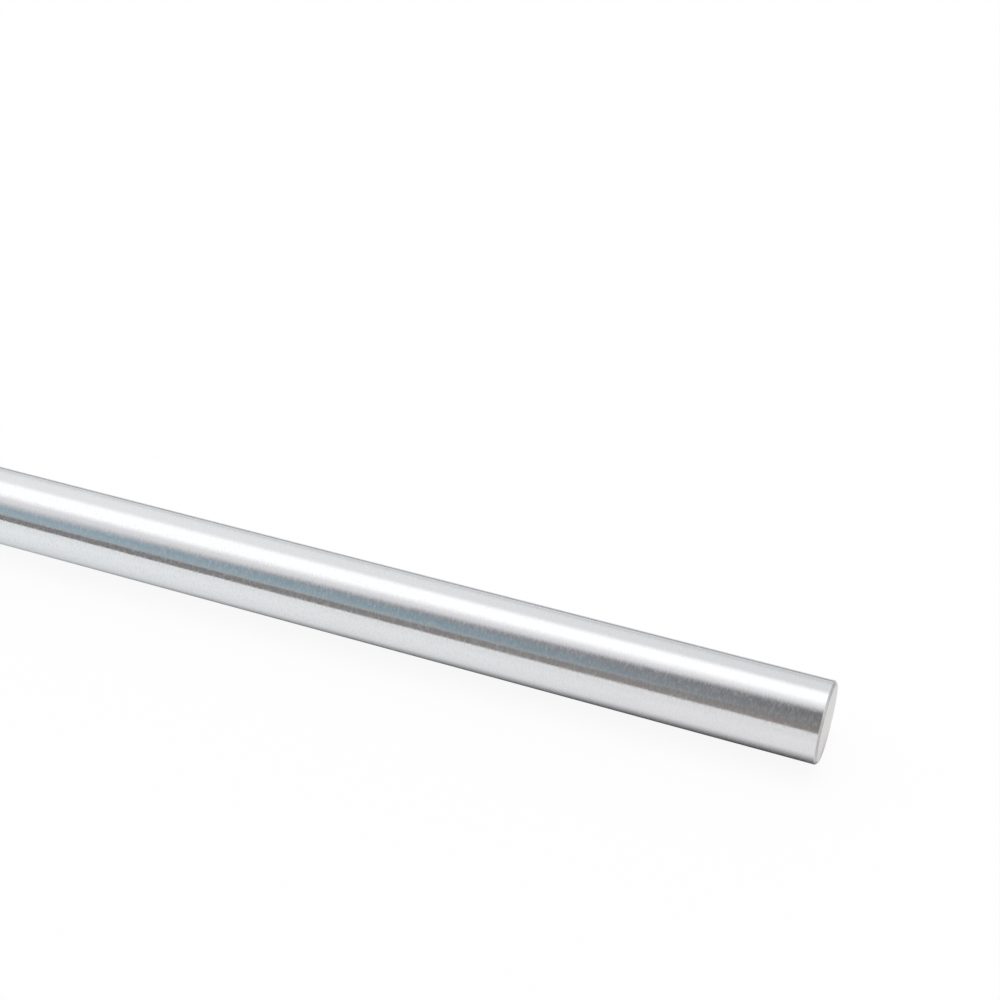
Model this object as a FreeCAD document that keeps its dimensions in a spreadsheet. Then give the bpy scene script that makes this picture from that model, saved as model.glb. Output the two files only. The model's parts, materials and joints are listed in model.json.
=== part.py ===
import FreeCAD
import Part
import Sketcher
import math
import os

# A plated linear shaft: one solid round bar, ground to a bearing fit over its
# whole length, cut square to length and chamfered at both ends. It lies along
# +X with its middle at the origin and +Z up. All sizes are in millimetres.

# The driving dimensions, each written once, by the name of its cell.
SIZES = {
    "shaft_diameter": 16.0,  # the ground running surface, over the plating
    "shaft_length": 300.0,  # over the two cut ends
    "end_chamfer": 0.5,  # 45 degree lead at each end, along and across the bar
}

SHAFT = "shaft"
OUTPUT_FOLDER = "parts"


def make_size_sheet(doc):
    """Puts the driving dimensions in a sheet, one aliased cell each."""
    sheet = doc.addObject("Spreadsheet::Sheet", "Sizes")
    for row, (alias, value) in enumerate(SIZES.items(), start=1):
        sheet.set(f"A{row}", alias)
        sheet.set(f"B{row}", str(value))
        sheet.setAlias(f"B{row}", alias)
    doc.recompute()
    return sheet


def origin_plane(body, role):
    """The body's own origin plane with this role, such as YZ_Plane."""
    return next(plane for plane in body.Origin.OriginFeatures if plane.Role == role)


def draw_bar_section(body, sheet):
    """The bar's section: one circle square to X, centred on the shaft's axis."""
    section = body.newObject("Sketcher::SketchObject", "bar_section")
    section.AttachmentSupport = [(origin_plane(body, "YZ_Plane"), "")]
    section.MapMode = "FlatFace"
    radius = sheet.shaft_diameter / 2
    outline = Part.Circle(FreeCAD.Vector(0, 0, 0), FreeCAD.Vector(0, 0, 1), radius)
    circle = section.addGeometry(outline)
    # A sketch names a point by its curve and the point's number on that curve. A
    # circle's centre is its point 3. The sketch's origin is point 1 of curve -1.
    bar_centre, sketch_origin = (circle, 3), (-1, 1)
    section.addConstraint(Sketcher.Constraint("Coincident", *bar_centre, *sketch_origin))
    across = Sketcher.Constraint("Diameter", circle, sheet.shaft_diameter)
    section.renameConstraint(section.addConstraint(across), "across_bar")
    section.setExpression("Constraints.across_bar", "Sizes.shaft_diameter")
    return section


def extend_bar(doc, body, section):
    """The bar at its cut length, half of it each side of the section."""
    bar = body.newObject("PartDesign::Pad", "cut_bar")
    bar.Profile = section
    bar.SideType = "Symmetric"
    bar.setExpression("Length", "Sizes.shaft_length")
    section.Visibility = False
    doc.recompute()
    return bar


def rim_names(shape):
    """Names of the round edges of a plain bar: the rims of its two cut ends."""
    numbered = enumerate(shape.Edges, start=1)
    return [f"Edge{number}" for number, edge in numbered if isinstance(edge.Curve, Part.Circle)]


def chamfer_ends(doc, body, bar):
    """Breaks both rims, so that a bearing slides on without catching a ball."""
    lead = body.newObject("PartDesign::Chamfer", "end_leads")
    lead.Base = (bar, rim_names(bar.Shape))
    lead.ChamferType = "Equal distance"
    lead.setExpression("Size", "Sizes.end_chamfer")
    body.Tip = lead
    doc.recompute()
    return lead


def make_shaft(doc, sheet):
    """The shaft, drawn, extended and chamfered in the order it is made."""
    body = doc.addObject("PartDesign::Body", SHAFT)
    body.Label = SHAFT
    body.Placement = FreeCAD.Placement(FreeCAD.Vector(0, 0, 0), FreeCAD.Rotation())
    section = draw_bar_section(body, sheet)
    bar = extend_bar(doc, body, section)
    chamfer_ends(doc, body, bar)
    return body


def expected_volume(sheet):
    """A straight bar between two cones, each as long as the chamfer."""
    full = sheet.shaft_diameter / 2
    end = full - sheet.end_chamfer
    straight = math.pi * full**2 * (sheet.shaft_length - 2 * sheet.end_chamfer)
    cone = math.pi * sheet.end_chamfer * (full**2 + full * end + end**2) / 3
    return straight + 2 * cone


def check_document(doc, body, sheet):
    """Stops before anything is written if a feature failed or the solid is off."""
    for item in doc.Objects:
        failed = {"Invalid", "Error"} & set(item.State)
        if failed:
            raise RuntimeError(f"{item.Name} did not build: {sorted(failed)}")
    shape = body.Shape
    if shape.isNull() or not shape.isValid() or len(shape.Solids) != 1:
        raise RuntimeError(f"{body.Label} is not one valid solid")
    wanted = expected_volume(sheet)
    one_in_a_million = 1e-6
    if not math.isclose(shape.Volume, wanted, rel_tol=one_in_a_million):
        raise RuntimeError(f"{body.Label} holds {shape.Volume:.3f} mm3, not {wanted:.3f}")


def write_step(body):
    """Writes the solid to a file that carries the piece's own name."""
    os.makedirs(OUTPUT_FOLDER, exist_ok=True)
    path = os.path.join(OUTPUT_FOLDER, f"{body.Label}.step")
    body.Shape.exportStep(path)
    return path


def main():
    doc = FreeCAD.newDocument("linear_shaft")
    sheet = make_size_sheet(doc)
    body = make_shaft(doc, sheet)
    doc.recompute()
    check_document(doc, body, sheet)
    path = write_step(body)
    box = body.Shape.BoundBox
    print(f"{path}: {box.XLength:.3f} x {box.YLength:.3f} x {box.ZLength:.3f} mm")
    print(f"{body.Label}: {body.Shape.Volume:.1f} mm3, {len(body.Shape.Faces)} faces")


main()
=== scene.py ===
# %% [markdown]
# # A hard-chromed linear shaft
#
# This lesson dresses a ground and plated guide shaft: one round steel bar that
# lies on a white table, polished so finely that it shows the studio round it.
# Nearly all of its look is reflection, so the lesson has three parts of equal
# weight: an exact turned surface, two finishes (chrome round the bar, bare
# steel on its cut ends), and a studio worth reflecting.
#
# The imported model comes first. It is the fixed frame that every piece is
# measured from, so nothing here is fitted by eye.

# %% Load the frame
import json
import math

import bmesh
import bpy
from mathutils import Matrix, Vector


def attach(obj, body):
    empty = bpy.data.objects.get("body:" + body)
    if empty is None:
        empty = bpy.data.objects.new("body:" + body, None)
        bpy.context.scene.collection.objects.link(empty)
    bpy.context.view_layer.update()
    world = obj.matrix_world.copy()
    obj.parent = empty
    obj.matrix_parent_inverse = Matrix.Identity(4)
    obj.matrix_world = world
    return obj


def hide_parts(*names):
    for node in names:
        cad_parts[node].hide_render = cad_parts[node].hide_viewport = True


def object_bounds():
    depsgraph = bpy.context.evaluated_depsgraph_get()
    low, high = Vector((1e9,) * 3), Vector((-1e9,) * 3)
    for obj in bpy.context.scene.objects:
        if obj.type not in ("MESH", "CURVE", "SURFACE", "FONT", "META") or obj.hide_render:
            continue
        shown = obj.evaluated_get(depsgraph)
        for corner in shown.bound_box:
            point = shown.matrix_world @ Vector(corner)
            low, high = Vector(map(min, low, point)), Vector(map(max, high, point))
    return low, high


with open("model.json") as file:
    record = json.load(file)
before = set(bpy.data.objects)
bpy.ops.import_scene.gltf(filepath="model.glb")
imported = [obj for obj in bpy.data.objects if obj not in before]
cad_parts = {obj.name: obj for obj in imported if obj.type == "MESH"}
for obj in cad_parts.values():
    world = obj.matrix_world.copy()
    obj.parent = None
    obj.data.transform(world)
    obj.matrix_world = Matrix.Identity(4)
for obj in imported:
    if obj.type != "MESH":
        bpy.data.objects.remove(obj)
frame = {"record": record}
cad_low, cad_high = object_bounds()
print("frame box in metres:", tuple(cad_low), tuple(cad_high))

# %% [markdown]
# ## Sizes
#
# A designer changes a size in one place, so this script reads the sizes that
# the frame already knows. The bearing surface is stated in the record as a pin
# with a radius and a length. What the bar is longer than that, at each end, is
# the chamfer. Typing the numbers again would be quicker, but they would go
# stale as soon as the bar changed.

# %% Sizes from the record
MILLIMETRE = 0.001
record = frame["record"]
running_surface = next(m for m in record["mounts"] if m["name"] == "running_surface")
RADIUS = running_surface["dims"]["r_mm"] * MILLIMETRE
HALF_LENGTH = (cad_high.x - cad_low.x) / 2
CHAMFER = HALF_LENGTH - running_surface["dims"]["length_mm"] * MILLIMETRE / 2
print(f"radius {RADIUS:.4f}, half length {HALF_LENGTH:.4f}, chamfer {CHAMFER:.5f} m")

# %% [markdown]
# ## Camera
#
# The viewpoint is as important to a polished bar as its finish, because every
# band on it is a reflection that moves with the camera. This one stands a third
# of a metre from the near end, level from side to side, looks down by 37.5
# degrees and is turned 21.5 degrees to the left, so that the bar runs away to
# the left and just a sliver of its near end face shows. It could be aimed with
# a constraint, but two angles and a place say the same and keep it level.

# %% Camera
CAMERA_PLACE = (0.17875, -0.23854, 0.23036)
CAMERA_DOWN = math.radians(37.5)
CAMERA_LEFT = math.radians(21.46)
CAMERA_LENS = 63.3
CAMERA_SENSOR = 36.0

camera_data = bpy.data.cameras.new("photo_camera")
camera_data.lens = CAMERA_LENS
camera_data.sensor_width = CAMERA_SENSOR
camera = bpy.data.objects.new("photo_camera", camera_data)
camera.location = CAMERA_PLACE
camera.rotation_euler = (math.pi / 2 - CAMERA_DOWN, 0.0, CAMERA_LEFT)
bpy.context.scene.collection.objects.link(camera)
bpy.context.scene.camera = camera
print("camera", CAMERA_LENS, "mm at", CAMERA_PLACE)

# %% [markdown]
# ## Shader maths
#
# The finishes and the studio are formulas. Node by node they would be hundreds
# of lines, so one small class wraps a socket and lets Python's operators add
# the Math nodes: `1 - mask * 0.5` reads as it is meant. Every other kind of
# node comes from the single method `add` of a shader.


# %% A socket with arithmetic
class Value:
    """A number or colour that varies from place to place: one output socket."""

    def __init__(self, shader, socket):
        self.shader = shader
        self.socket = socket

    def math(self, operation, *others):
        sockets = dict(enumerate((self, *others)))
        return self.shader.add("ShaderNodeMath", {"operation": operation}, sockets)

    def __add__(self, other):
        return self.math("ADD", other)

    def __sub__(self, other):
        return self.math("SUBTRACT", other)

    def __rsub__(self, other):
        return self * -1.0 + other

    def __mul__(self, other):
        return self.math("MULTIPLY", other)

    def __neg__(self):
        return self * -1.0

    def __pow__(self, other):
        return self.math("POWER", other)

    __radd__ = __add__
    __rmul__ = __mul__


print("sockets take +, -, * and **")


# %% A shader that nodes are added to
class Shader:
    """The nodes of one material or of the world."""

    def __init__(self, owner):
        owner.use_nodes = True
        self.tree = owner.node_tree
        self.tree.nodes.clear()

    def add(self, kind, settings=None, sockets=None, out=0):
        """Adds a node: its settings first, then each socket's value or link."""
        node = self.tree.nodes.new(kind)
        for name, setting in (settings or {}).items():
            setattr(node, name, setting)
        for name, value in (sockets or {}).items():
            if isinstance(value, Value):
                self.tree.links.new(value.socket, node.inputs[name])
            else:
                node.inputs[name].default_value = value
        return Value(self, node.outputs[out]) if node.outputs else node

    def step(self, value, start, end, low=0.0, high=1.0):
        """A smooth step from low to high as value goes from start to end."""
        limits = {"Value": value, "From Min": start, "From Max": end}
        limits |= {"To Min": low, "To Max": high}
        return self.add("ShaderNodeMapRange", {"interpolation_type": "SMOOTHSTEP"}, limits)

    def slide(self, value, start, end, low=0.0, high=1.0):
        """An even change from low to high, level beyond start and end."""
        limits = {"Value": value, "From Min": start, "From Max": end}
        limits |= {"To Min": low, "To Max": high}
        return self.add("ShaderNodeMapRange", {"interpolation_type": "LINEAR"}, limits)

    def mix(self, factor, first, second):
        """The first colour where factor is 0, the second where it is 1."""
        sockets = {"Factor": factor, 6: first, 7: second}
        return self.add("ShaderNodeMix", {"data_type": "RGBA"}, sockets, out=2)

    def vector(self, operation, *vectors):
        """Vector Math on vectors, such as ADD, CROSS_PRODUCT or NORMALIZE."""
        settings = {"operation": operation}
        return self.add("ShaderNodeVectorMath", settings, dict(enumerate(vectors)))

    def scaled(self, vector, factor):
        """The vector, longer by a factor that may vary."""
        sockets = {0: vector, "Scale": factor}
        return self.add("ShaderNodeVectorMath", {"operation": "SCALE"}, sockets)


def grey(level):
    """A neutral colour of that level."""
    return (level, level, level, 1.0)


print("shader helpers ready")

# %% [markdown]
# ## The turned surface
#
# A lathe makes a shaft by carrying one outline round an axis, and so does this
# cell. A cylinder primitive with a bevel would look close, but the bands on
# chrome magnify every flat, and the corners of a real chamfer are never knife
# sharp: each has a tiny rounding that catches a thread of light. So the outline
# is drawn as corners, each corner is rounded by an arc, and the whole is spun
# in fine steps. One ring close beside each rounding holds the smooth shading
# true up to it, and the long bar has a ring every few millimetres.

# %% Outline of half a shaft
EDGE_ROUNDING = 0.05 * MILLIMETRE
ROUNDING_STEPS = 5


def rounded_corner(before, corner, after, radius, steps):
    """Points of an arc that touches both lines that meet at a corner."""
    to_before = (before - corner).normalized()
    to_after = (after - corner).normalized()
    half_angle = to_before.angle(to_after) / 2
    inward = (to_before + to_after).normalized()
    centre = corner + inward * (radius / math.sin(half_angle))
    start = corner + to_before * (radius / math.tan(half_angle))
    end = corner + to_after * (radius / math.tan(half_angle))
    arc = []
    for number in range(steps + 1):
        along = start.lerp(end, number / steps)
        arc.append(centre + (along - centre).normalized() * radius)
    return arc


print(f"corner rounding {EDGE_ROUNDING / MILLIMETRE:.3f} mm")

# %% Outline from the middle of one end to the middle of the other
FACE_RINGS = (0.25, 0.5, 0.75, 0.96)
HOLDING_GAP = 0.25 * MILLIMETRE
RING_SPACING = 5 * MILLIMETRE


def half_outline():
    """Points (along, out) from an end face's centre to the bar's middle."""
    face_centre = Vector((HALF_LENGTH, 0))
    face_edge = Vector((HALF_LENGTH, RADIUS - CHAMFER))
    bar_edge = Vector((HALF_LENGTH - CHAMFER, RADIUS))
    bar_middle = Vector((0, RADIUS))
    points = [face_centre]
    points += [face_centre.lerp(face_edge, share) for share in FACE_RINGS]
    rounding = (EDGE_ROUNDING, ROUNDING_STEPS)
    points += rounded_corner(face_centre, face_edge, bar_edge, *rounding)
    points += rounded_corner(face_edge, bar_edge, bar_middle, *rounding)
    straight = bar_edge.x - HOLDING_GAP
    rings = round(straight / RING_SPACING)
    points += [Vector((straight * (1 - n / rings), RADIUS)) for n in range(rings + 1)]
    return points


near_half = half_outline()
far_half = [Vector((-point.x, point.y)) for point in reversed(near_half[:-1])]
outline = near_half + far_half
print(len(outline), "outline points")

# %% Spin the outline round the axis
TURNS = 384
CHROME, FACE, TURNED = 0, 1, 2
FACE_DEPTH = EDGE_ROUNDING / 4


def ring_of_vertices(mesh, point):
    """The vertices that one outline point makes: one on the axis, else a ring."""
    if point.y == 0:
        return [mesh.verts.new((point.x, 0, 0))]
    angles = [2 * math.pi * turn / TURNS for turn in range(TURNS)]
    places = [(point.x, point.y * math.sin(a), point.y * math.cos(a)) for a in angles]
    return [mesh.verts.new(place) for place in places]


def skin_between(mesh, first, second, material):
    """Faces from one ring to the next, as triangles where a ring is a point."""
    for turn in range(TURNS):
        after = (turn + 1) % TURNS
        corners = [first[turn % len(first)], second[turn % len(second)]]
        corners += [second[after % len(second)], first[after % len(first)]]
        face = mesh.faces.new(dict.fromkeys(corners))
        face.material_index = material
        face.smooth = True


def finish_at(point):
    """Which finish the surface has at a point of the outline."""
    if abs(point.x) < HALF_LENGTH - CHAMFER:
        return CHROME
    return FACE if abs(point.x) > HALF_LENGTH - FACE_DEPTH else TURNED


def spun_mesh(name, points):
    """A closed mesh of revolution about X, with its finish picked by place."""
    mesh = bmesh.new()
    rings = [ring_of_vertices(mesh, point) for point in points]
    for start, end, first, second in zip(points, points[1:], rings, rings[1:]):
        skin_between(mesh, first, second, finish_at(start.lerp(end, 0.5)))
    bmesh.ops.recalc_face_normals(mesh, faces=mesh.faces)
    data = bpy.data.meshes.new(name)
    mesh.to_mesh(data)
    mesh.free()
    return data


shaft = bpy.data.objects.new("ground_shaft", spun_mesh("ground_shaft", outline))
bpy.context.scene.collection.objects.link(shaft)
print(len(shaft.data.polygons), "faces on the shaft")

# %% [markdown]
# ## Hard chrome
#
# Chrome is a metal with little colour of its own, a slightly cool grey that
# returns about four fifths of the light, and a bit less at a slant. What makes
# it look ground and not like a mirror ball are the marks of the wheel: hair
# fine, short lines that run round the bar. Three things follow from them. The
# surface is never quite true from line to line, which combs the soft edge of
# each reflected light. Some lines are duller than others. And the torn metal
# in them scatters a little light every way, which shows as a fine pale grain
# in the dark reflections and is lost in the bright ones.
#
# Anisotropic roughness would blur the lines into a sheen. Here they are near
# enough to be told apart, so the finish tilts the surface normal a little
# along the bar's own two directions, raises the roughness line by line and
# lowers Metallic where the metal is torn, since only the share of a surface
# that is not metallic scatters light every way. That share is smallest near
# the end by the camera, where the grinding came out finest. Here and there a
# pit in the plating shows as a pale speck.

# %% Lines round the bar
CHROME_COLOUR = (0.80, 0.805, 0.81, 1.0)
CHROME_AT_A_SLANT = (0.82, 0.82, 0.83, 1.0)
NOISE_MIDDLE = 0.5


def lines_round_bar(shader, place, along, around, seed, detail):
    """Noise drawn out round the bar, with that many marks a metre each way."""
    stretched = shader.vector("MULTIPLY", place, (along, around, around))
    settings = {"noise_dimensions": "4D"}
    sockets = {"Vector": stretched, "W": seed, "Scale": 1.0, "Detail": detail}
    return shader.add("ShaderNodeTexNoise", settings, sockets)


print("chrome returns", CHROME_COLOUR[:3], "of the light")

# %% Tilt of the chrome
GRAIN = (4200.0, 1100.0)
WAVES = (260.0, 60.0)
GRAIN_TILT = 0.032
WAVE_TILT = 0.012
SMEAR_TILT = 0.06


def chrome_normal(shader, place):
    """The bar's normal, tilted round it by grain and waves, along it by smear."""
    true_normal = shader.add("ShaderNodeNewGeometry", out="Normal")
    along = (1.0, 0.0, 0.0)
    around = shader.vector("CROSS_PRODUCT", true_normal, along)
    grain = lines_round_bar(shader, place, *GRAIN, seed=1.0, detail=1.0) - NOISE_MIDDLE
    waves = lines_round_bar(shader, place, *WAVES, seed=3.0, detail=1.0) - NOISE_MIDDLE
    smear = lines_round_bar(shader, place, *GRAIN, seed=5.0, detail=1.0) - NOISE_MIDDLE
    tilt_round = shader.scaled(around, grain * GRAIN_TILT + waves * WAVE_TILT)
    tilt_along = shader.scaled(along, smear * SMEAR_TILT)
    tilted = shader.vector("ADD", shader.vector("ADD", true_normal, tilt_round), tilt_along)
    return shader.vector("NORMALIZE", tilted)


print("grain lines", round(1 / (GRAIN[0] * MILLIMETRE), 2), "mm apart")

# %% Chrome material
DULL_LINES = (3800.0, 900.0)
DULL_EDGES = (0.40, 0.70)
SMOOTH, DULL = 0.07, 0.21
HAZE = (2700.0, 1100.0)
HAZE_EDGES = (0.42, 0.72)
HAZE_GROWS = (110 * MILLIMETRE, 50 * MILLIMETRE)
HAZE_SHARES = (0.15, 0.23)
SPECK_GAP = 3.0 * MILLIMETRE
SPECK_RADIUS = 0.12 * MILLIMETRE
SPECK_CORE = 0.7
SPECK_DULLNESS = 0.4
SPECK_COLOUR = grey(0.9)


def specks(shader, place):
    """1 in small pits, spread by chance about a gap apart, and 0 elsewhere."""
    cells = {"Vector": place, "Scale": 1 / SPECK_GAP, "Randomness": 1.0}
    to_speck = shader.add("ShaderNodeTexVoronoi", None, cells, out="Distance")
    edge = SPECK_RADIUS / SPECK_GAP
    return shader.step(to_speck, SPECK_CORE * edge, edge, 1.0, 0.0)


def chrome_material():
    """Chrome with its tilted grain, dull lines, pale haze and specks."""
    material = bpy.data.materials.new("ground_hard_chrome")
    shader = Shader(material)
    place = shader.add("ShaderNodeTexCoord", out="Object")
    marks = lines_round_bar(shader, place, *DULL_LINES, seed=9.0, detail=2.0)
    dull = shader.step(marks, *DULL_EDGES)
    torn = lines_round_bar(shader, place, *HAZE, seed=12.0, detail=3.0)
    haze = shader.step(torn, *HAZE_EDGES)
    along_shaft = shader.add("ShaderNodeSeparateXYZ", None, {0: place}, out="X")
    haze_share = shader.slide(along_shaft, *HAZE_GROWS, *HAZE_SHARES)
    speck = specks(shader, place)
    sockets = {
        "Base Color": shader.mix(speck, CHROME_COLOUR, SPECK_COLOUR),
        "Metallic": 1.0 - haze * haze_share,
        "Specular Tint": CHROME_AT_A_SLANT,
        "Roughness": SMOOTH + (DULL - SMOOTH) * dull + speck * SPECK_DULLNESS,
        "Normal": chrome_normal(shader, place),
    }
    surface = shader.add("ShaderNodeBsdfPrincipled", None, sockets)
    shader.add("ShaderNodeOutputMaterial", None, {"Surface": surface})
    return material


shaft.data.materials.append(chrome_material())
print("chrome on the bar, with specks about", SPECK_GAP / MILLIMETRE, "mm apart")

# %% [markdown]
# ## Bare steel ends
#
# Stock is cut after it is plated, so its ends and chamfers are bare steel:
# duller, a touch warmer, and matte enough to show no picture of the studio.
# The ground face is the lighter and rougher of the two. The chamfer, turned
# with a small tool, is darker and shinier, and its slope catches other light.
# Both keep fine rings about the axis and an uneven cut, so the rings feed a
# small bump and a slow mottle varies the tone. The two differ only in numbers,
# so one function makes both.

# %% Steel materials
FACE_COLOURS = ((0.88, 0.876, 0.86, 1.0), (0.79, 0.784, 0.768, 1.0))
CHAMFER_COLOURS = ((0.67, 0.66, 0.65, 1.0), (0.55, 0.54, 0.535, 1.0))
FACE_ROUGHNESS = 0.44
CHAMFER_ROUGHNESS = 0.26
RINGS_OUT = 4200.0
MOTTLE_SCALE = 1600.0
STAIN_FROM_MOTTLE = 0.45
STAIN_EDGES = (0.36, 0.64)
RELIEF_FROM_MOTTLE = 0.3
RING_HEIGHT = 0.004 * MILLIMETRE
MOTTLE_ROUGHNESS = 0.16


def steel_material(name, colours, smoothest):
    """Bare steel with rings about the axis and a slow mottle over them."""
    material = bpy.data.materials.new(name)
    shader = Shader(material)
    place = shader.add("ShaderNodeTexCoord", out="Object")
    flattened = shader.vector("MULTIPLY", place, (0.0, 1.0, 1.0))
    out_from_axis = shader.add(
        "ShaderNodeVectorMath", {"operation": "LENGTH"}, {0: flattened}, out="Value"
    )
    ring_sockets = {"W": out_from_axis * RINGS_OUT, "Scale": 1.0, "Detail": 3.0}
    rings = shader.add("ShaderNodeTexNoise", {"noise_dimensions": "1D"}, ring_sockets)
    mottle_sockets = {"Vector": place, "Scale": MOTTLE_SCALE, "Detail": 4.0}
    mottle = shader.add("ShaderNodeTexNoise", None, mottle_sockets)

    stain = mottle * STAIN_FROM_MOTTLE + rings * (1 - STAIN_FROM_MOTTLE)
    colour = shader.mix(shader.step(stain, *STAIN_EDGES), *colours)
    relief = mottle * RELIEF_FROM_MOTTLE + rings * (1 - RELIEF_FROM_MOTTLE)
    bump_sockets = {"Height": relief, "Distance": RING_HEIGHT, "Strength": 1.0}
    normal = shader.add("ShaderNodeBump", None, bump_sockets)
    roughness = smoothest + mottle * MOTTLE_ROUGHNESS
    sockets = {"Base Color": colour, "Metallic": 1.0, "Roughness": roughness, "Normal": normal}
    surface = shader.add("ShaderNodeBsdfPrincipled", None, sockets)
    shader.add("ShaderNodeOutputMaterial", None, {"Surface": surface})
    return material


face_steel = steel_material("ground_end_face", FACE_COLOURS, FACE_ROUGHNESS)
chamfer_steel = steel_material("turned_chamfer", CHAMFER_COLOURS, CHAMFER_ROUGHNESS)
shaft.data.materials.append(face_steel)
shaft.data.materials.append(chamfer_steel)
print("bare steel on the end faces and chamfers")

# %% [markdown]
# ## Light table
#
# Catalogue photographs of bright metal are often taken on a light table: a
# white acrylic sheet, lit from above and also from below, so that its shadows
# wash out. This one is a large sheet at the height where the bar touches it.
# The camera sees it glow almost at white, with just enough of the lamp's own
# light left to hold the bar's soft shadow, and a metre out it is wholly white.
#
# The chrome sees the sheet three quarters as a painted reflection and a quarter
# as the lit sheet. In the painted part one dark line matters: a painted shadow
# along the foot of the bar. It is drawn by the distance from the line that the
# bar rests on, tighter towards the far end. Further out a little painted shade
# dims it, for less light from below. Behind the bar a painted reflection of a
# dark rail of the table's frame lies across it, so that from behind a dark line
# shows there too. Light Path tells the camera's rays from the mirrored ones.

# %% Light table
TABLE_REACH = 3.0
TABLE_COLOUR = grey(0.93)
WHITE_GLOW = 0.91
ALL_WHITE_FROM = 1.0
# Share of the chrome's view of the sheet that is its painted reflection, not the lit sheet.
MIRRORED_GLOW = 0.75
# Colours of the sheet's painted reflection at the near and the far end.
SHEET_NEAR = (0.890, 0.876, 0.896, 1.0)
SHEET_FAR = (0.955, 0.990, 1.005, 1.0)
# Painted shadow: the dark line along the bar's foot, drawn only into the chrome's reflection
# of the sheet.
PAINTED_SHADOW_UNDER_BAR = grey(0.05)
SHADE_NEAR = (4.8 * MILLIMETRE, 12.5 * MILLIMETRE)
SHADE_FAR = (0.8 * MILLIMETRE, 7.2 * MILLIMETRE)
FAR_SHEET_AT = -0.2 * HALF_LENGTH
PAST_END_WEIGHT = 8.0
# Painted shade: the reflected sheet dims a little further from the bar.
PAINTED_SHADE_FROM, PAINTED_SHADE_TO = 28 * MILLIMETRE, 60 * MILLIMETRE
PAINTED_SHADE_LEVEL = 0.925
# Painted reflection: a dark rail drawn only into the chrome's view of the sheet; no rail is
# built.
PAINTED_RAIL_FRONT = (40 * MILLIMETRE, 50 * MILLIMETRE)
PAINTED_RAIL_BACK = (110 * MILLIMETRE, 150 * MILLIMETRE)
PAINTED_RAIL_REFLECTION = (0.28, 0.29, 0.31, 1.0)


def distance_from_bar(along, aside):
    """How far a point of the sheet lies from the line that the bar rests on.

    What lies past an end counts several times, so that the painted shadow stops soon there.
    """
    past_end = (along.math("ABSOLUTE") - HALF_LENGTH).math("MAXIMUM", 0.0)
    past_end = past_end * PAST_END_WEIGHT
    return (past_end * past_end + aside * aside).math("SQRT")


def painted_sheet_reflection(shader, along, aside, away):
    """The sheet's painted reflection, with painted shadow and rail: cooler and less shaded at
    the far end.
    """
    far = shader.slide(along, HALF_LENGTH, FAR_SHEET_AT)
    sheet = shader.mix(far, SHEET_NEAR, SHEET_FAR)
    # Painted shade further out on the reflected sheet.
    sheet = shader.scaled(sheet, shader.slide(away, PAINTED_SHADE_FROM, PAINTED_SHADE_TO, 1.0, PAINTED_SHADE_LEVEL))
    # Painted reflection of a dark rail behind the bar.
    painted_rail = shader.step(aside, *PAINTED_RAIL_FRONT) * shader.step(aside, *reversed(PAINTED_RAIL_BACK))
    sheet = shader.mix(painted_rail, sheet, PAINTED_RAIL_REFLECTION)
    painted_shadow_edges = [near + (off - near) * far for near, off in zip(SHADE_NEAR, SHADE_FAR)]
    # Painted shadow along the foot of the bar.
    return shader.mix(shader.step(away, *painted_shadow_edges), PAINTED_SHADOW_UNDER_BAR, sheet)


def table_material():
    """White to the camera, mostly a painted reflection to the chrome, matte to the lamp."""
    material = bpy.data.materials.new("light_table")
    shader = Shader(material)
    place = shader.add("ShaderNodeTexCoord", out="Object")
    along = shader.add("ShaderNodeSeparateXYZ", None, {0: place}, out="X")
    aside = shader.add("ShaderNodeSeparateXYZ", None, {0: place}, out="Y")
    away = distance_from_bar(along, aside)
    seen = shader.add("ShaderNodeLightPath", out="Is Camera Ray")
    mirrored = shader.add("ShaderNodeLightPath", out="Is Glossy Ray")

    diffuse = shader.add("ShaderNodeBsdfDiffuse", None, {"Color": TABLE_COLOUR})
    colour = shader.mix(seen, painted_sheet_reflection(shader, along, aside, away), grey(1.0))
    glow = shader.add("ShaderNodeEmission", None, {"Color": colour, "Strength": 1.0})
    white = shader.slide(away, 0.0, ALL_WHITE_FROM, WHITE_GLOW, 1.0)
    factor = seen * white + mirrored * MIRRORED_GLOW
    surface = shader.add("ShaderNodeMixShader", None, {0: factor, 1: diffuse, 2: glow})
    shader.add("ShaderNodeOutputMaterial", None, {"Surface": surface})
    return material


table_data = bpy.data.meshes.new("table")
table_corners = [(-1, -1), (1, -1), (1, 1), (-1, 1)]
table_places = [(x * TABLE_REACH, y * TABLE_REACH, -RADIUS) for x, y in table_corners]
table_data.from_pydata(table_places, [], [(0, 1, 2, 3)])
table_data.materials.append(table_material())
table = bpy.data.objects.new("table", table_data)
bpy.context.scene.collection.objects.link(table)
print("table", 2 * TABLE_REACH, "m square")

# %% [markdown]
# ## A studio to reflect
#
# Photographers light polished bar stock with long lights laid parallel to it,
# because a bar turns each one into a clean band from end to end. So the studio
# is painted by the angle round the bar's axis: 0 degrees is level with it on
# the camera's side, 90 is overhead and 180 is level behind it. Nothing in the
# room is quite parallel to the bar, so each band's edge is given twice, for
# the near end's reflections and for the far end's, and slides between them.
#
# Real lamps and cards could be placed instead, but a world costs no noise and
# reaches every other view of the bar too.

# %% Angle round the bar
NEAR_DIRECTION, FAR_DIRECTION = -0.12, -0.50

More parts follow.
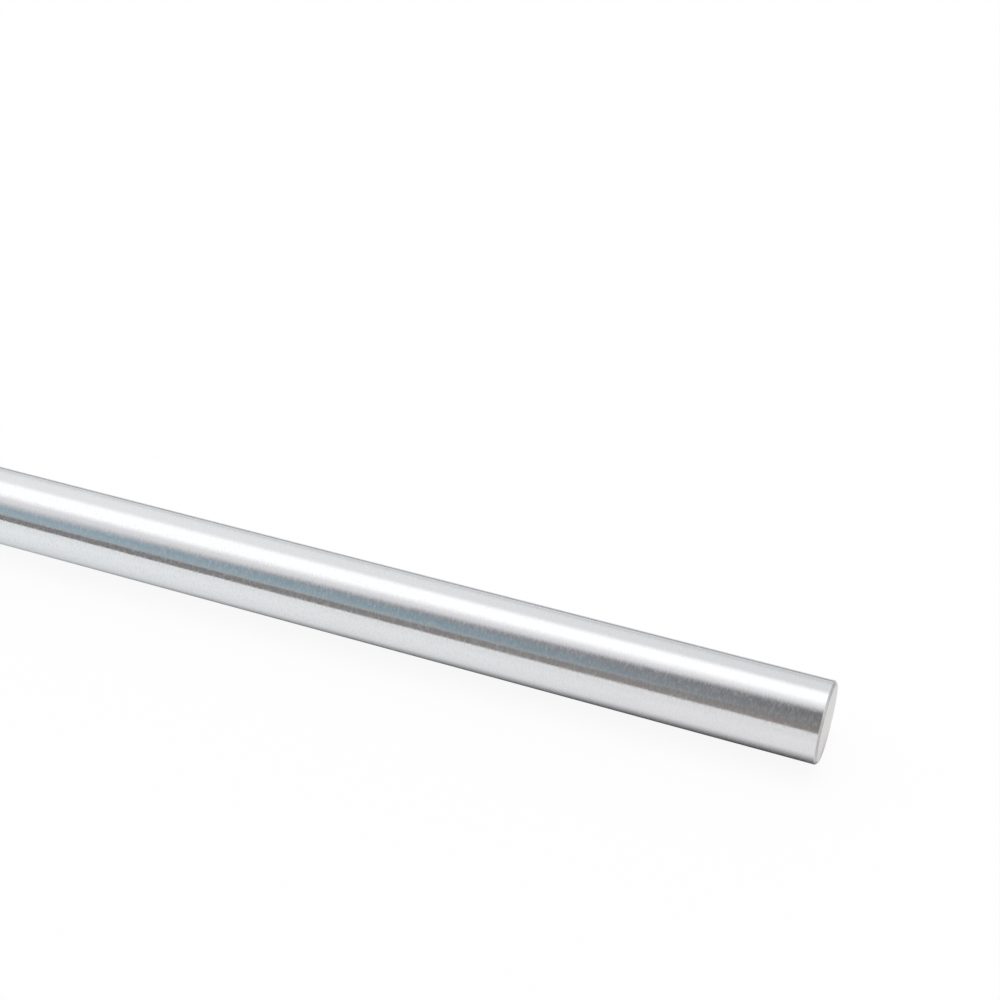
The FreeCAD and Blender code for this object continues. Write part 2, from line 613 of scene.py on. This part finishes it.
world = bpy.data.worlds.new("studio")
bpy.context.scene.world = world
studio = Shader(world)
heading = studio.add("ShaderNodeTexCoord", out="Generated")
along_bar = studio.add("ShaderNodeSeparateXYZ", None, {0: heading}, out="X")
depth = studio.add("ShaderNodeSeparateXYZ", None, {0: heading}, out="Y")
height = studio.add("ShaderNodeSeparateXYZ", None, {0: heading}, out="Z")
degrees_round = height.math("ARCTAN2", -depth) * math.degrees(1.0)
far_side = studio.slide(along_bar, NEAR_DIRECTION, FAR_DIRECTION)


def between(near, far, bend=1.0):
    """An angle that slides from its near-end value to its far-end value.

    With a bend below 1 most of the change comes early, with one above 1 late.
    """
    share = far_side if bend == 1.0 else far_side**bend
    return near + (far - near) * share


print("the studio is drawn by the angle round the bar")

# %% [markdown]
# ### The dim side of the room
#
# Going up from the table on the camera's side there is first its own white lip,
# then a brown skirting with a pale moulding along its top, then a wall. The wall
# is grey near by and blue-green towards the far end, where it is brighter too.
# The blue-green begins a little further off low down and is weaker at the
# wall's foot, which is the lightest part. The top of the wall is greyer again.
# A little noise by angle stands for the furniture: it draws faint lines along
# the dark reflection, as a real room does.

# %% Wall
WALL_GREY = (0.262, 0.256, 0.254, 1.0)
WALL_TEAL = (0.290, 0.378, 0.436, 1.0)
TEAL_EDGES = (-0.06, -0.30)
LOW_DOWN, LOW_DOWN_DELAYS = (28.0, 42.0), (0.03, 0.0)
WALL_FOOT, FOOT_TEALS = (18.0, 34.0), (0.78, 1.0)
WALL_RISE, RISE_LEVELS = (20.0, 42.0), (1.09, 0.895)
WALL_END, END_LEVELS = (-0.30, -0.50), (1.0, 1.2)
TOP_GREY = (0.203, 0.201, 0.209, 1.0)
TOP_BLUE = (0.304, 0.311, 0.333, 1.0)
TOP_RAISED_BY = 0.25
TOP_STARTS = (37.0, 42.0)
TOP_FADE = 14.5


def teal_share(shader):
    """How blue-green the room is: not at all near by, wholly at the far end."""
    delay = shader.slide(degrees_round, *LOW_DOWN, *LOW_DOWN_DELAYS)
    return shader.step(along_bar + delay, *TEAL_EDGES)


def painted_wall(shader, teal):
    """The wall with its light foot and its grey top."""
    wall_teal = teal * shader.slide(degrees_round, *WALL_FOOT, *FOOT_TEALS)
    wall = shader.mix(wall_teal, WALL_GREY, WALL_TEAL)
    wall = shader.scaled(wall, shader.step(degrees_round, *WALL_RISE, *RISE_LEVELS))
    wall = shader.scaled(wall, shader.slide(along_bar, *WALL_END, *END_LEVELS))
    top = shader.mix(teal, TOP_GREY, TOP_BLUE)
    top_start = shader.slide(far_side, 0.0, TOP_RAISED_BY, *TOP_STARTS)
    is_top = shader.step(degrees_round, top_start, top_start + TOP_FADE)
    return shader.mix(is_top, wall, top)


print("blue-green sets in between headings", *TEAL_EDGES)

# %% Skirting, moulding and furniture
SKIRTING_NEAR = (0.300, 0.276, 0.266, 1.0)
SKIRTING_FAR = (0.221, 0.215, 0.216, 1.0)
SKIRTING_RISE = (14.0, 24.0)
DIM_UP_TO, DIM_LEVELS = 0.4, (0.86, 1.0)
MOULDING = (0.425, 0.432, 0.430, 1.0)
MOULDING_SHARE = 0.7
MOULDING_TOP, MOULDING_FOOT = 9.0, 3.0
CLUTTER_PER_DEGREE = 0.35
CLUTTER_CONTRAST = 0.22
NEAREST, NEAREST_LEVELS = (-0.13, -0.10), (1.0, 0.95)


def painted_skirting(shader):
    """The brown skirting, dimmer high up at the near end."""
    skirting = shader.mix(far_side, SKIRTING_NEAR, SKIRTING_FAR)
    high_up = shader.slide(far_side, 0.0, DIM_UP_TO, *DIM_LEVELS)
    return shader.scaled(skirting, shader.slide(degrees_round, *SKIRTING_RISE, 1.0, high_up))


def with_moulding(shader, wall, skirting_top, teal):
    """The wall with a pale moulding just above the skirting."""
    edges = (skirting_top + MOULDING_TOP, skirting_top + MOULDING_FOOT)
    moulding = shader.step(degrees_round, *edges) * teal
    return shader.mix(moulding * MOULDING_SHARE, wall, MOULDING)


def furnished(shader, room):
    """The room with faint lines in it, and a touch darker at the near end."""
    sockets = {"W": degrees_round * CLUTTER_PER_DEGREE, "Scale": 1.0, "Detail": 2.0}
    clutter = shader.add("ShaderNodeTexNoise", {"noise_dimensions": "1D"}, sockets)
    room = shader.scaled(room, 1.0 + (clutter - NOISE_MIDDLE) * CLUTTER_CONTRAST)
    return shader.scaled(room, shader.slide(along_bar, *NEAREST, *NEAREST_LEVELS))


print("furniture about every", round(1 / CLUTTER_PER_DEGREE, 1), "degrees")

# %% The dim side, put together
LIP = grey(0.84)
LIP_TOP = (8.8, -3.0, 0.8)
LIP_SOFTNESS = (3.2, 1.3)
SKIRTING_TOP = (33.0, 15.3, 0.5)
FADE_BELOW, FADE_ABOVE = (4.5, 0.0), (2.7, 1.0)


def dim_room(shader):
    """The room from the table's lip up to the top of the wall."""
    teal = teal_share(shader)
    skirting_top = between(*SKIRTING_TOP)
    wall = with_moulding(shader, painted_wall(shader, teal), skirting_top, teal)
    wall_edges = (skirting_top - between(*FADE_BELOW), skirting_top + between(*FADE_ABOVE))
    is_wall = shader.step(degrees_round, *wall_edges)
    room = furnished(shader, shader.mix(is_wall, painted_skirting(shader), wall))
    lip_top, softness = between(*LIP_TOP), between(*LIP_SOFTNESS)
    is_room = shader.step(degrees_round, lip_top - softness, lip_top + softness)
    return shader.mix(is_room, LIP, room)


dim_side = dim_room(studio)
print("table lip, skirting and wall painted")

# %% [markdown]
# ### The bright side of the room
#
# The top of the wall catches light from a long strip overhead and is washed out
# in a soft slope. Above it the strip itself starts, with a slope of its own:
# the two slopes together make the fade on the bar slow at its bright end. The
# strip's other edge is crisper, and behind it hangs a pale card that reaches
# down to the table. Straight ahead of each end there is a low warm doorway,
# which in this view only the chamfer faces.

# %% The bright side of the room
WASHED_WALL = (0.839, 0.831, 0.853, 1.0)
WASH_START, WASH_FULL = (60.0, 34.0, 1.7), (81.5, 61.5, 0.75)
STRIP_LIGHT = grey(1.28)
STRIP_START, STRIP_FULL = (75.0, 62.0), (101.0, 83.5)
CARD_NEAR = (0.835, 0.840, 0.855, 1.0)
CARD_FAR = (0.945, 0.950, 0.960, 1.0)
CARD_START, CARD_FULL = (116.3, 108.2), (136.3, 128.2)
CARD_DROP, DROP_LEVELS = (158.0, 178.0), (1.0, 0.84)
DOORWAY = (1.30, 1.24, 1.18, 1.0)
DOORWAY_AHEAD = (0.983, 0.993)
DOORWAY_TOP = (0.20, 0.10)


def bright_room(shader, room):
    """The washed wall, the strip overhead and the card, which dims low down."""
    washed = shader.step(degrees_round, between(*WASH_START), between(*WASH_FULL))
    lit = shader.mix(washed, room, WASHED_WALL)
    strip = shader.step(degrees_round, between(*STRIP_START), between(*STRIP_FULL))
    lit = shader.mix(strip, lit, STRIP_LIGHT)
    card = shader.mix(far_side, CARD_NEAR, CARD_FAR)
    card = shader.scaled(card, shader.step(degrees_round, *CARD_DROP, *DROP_LEVELS))
    behind = shader.step(degrees_round, between(*CARD_START), between(*CARD_FULL))
    return shader.mix(behind, lit, card)


def doorways(shader, colour):
    """A low warm doorway straight ahead of each end, for the chamfers to catch."""
    ahead = shader.step(along_bar.math("ABSOLUTE"), *DOORWAY_AHEAD)
    low_down = shader.step(height, *DOORWAY_TOP)
    return shader.mix(ahead * low_down, colour, DOORWAY)


reflected = doorways(studio, bright_room(studio, dim_side))
straight_on = studio.add("ShaderNodeLightPath", out="Is Camera Ray")
shown = studio.mix(straight_on, reflected, grey(1.0))
background = studio.add("ShaderNodeBackground", None, {"Color": shown, "Strength": 1.0})
studio.add("ShaderNodeOutputWorld", None, {"Surface": background})
print("strip, card and doorways painted")

# %% [markdown]
# ## One soft lamp
#
# The studio already lights the bar evenly. A single wide lamp overhead brings
# the table up to the level where white reads as white and draws a soft shadow
# under the bar. It is hidden from reflections, which are the studio's work.

# %% Lamp
LAMP_POWER = 6.0
LAMP_SIZE = 1.2
LAMP_PLACE = (0.0, 0.3, 1.6)

lamp_data = bpy.data.lights.new("overhead", "AREA")
lamp_data.shape = "DISK"
lamp_data.size = LAMP_SIZE
lamp_data.energy = LAMP_POWER
lamp = bpy.data.objects.new("overhead", lamp_data)
lamp.location = LAMP_PLACE
lamp.visible_glossy = False
bpy.context.scene.collection.objects.link(lamp)
print("lamp", LAMP_POWER, "W")

# %% [markdown]
# ## Hand over
#
# Colours here are written as they should look, so the plain Standard view is
# used. The turned shaft then takes the place of the imported node and rides on
# the frame's only body.

# %% Finish
bpy.context.scene.view_settings.view_transform = "Standard"
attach(shaft, "root")
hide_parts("shaft")
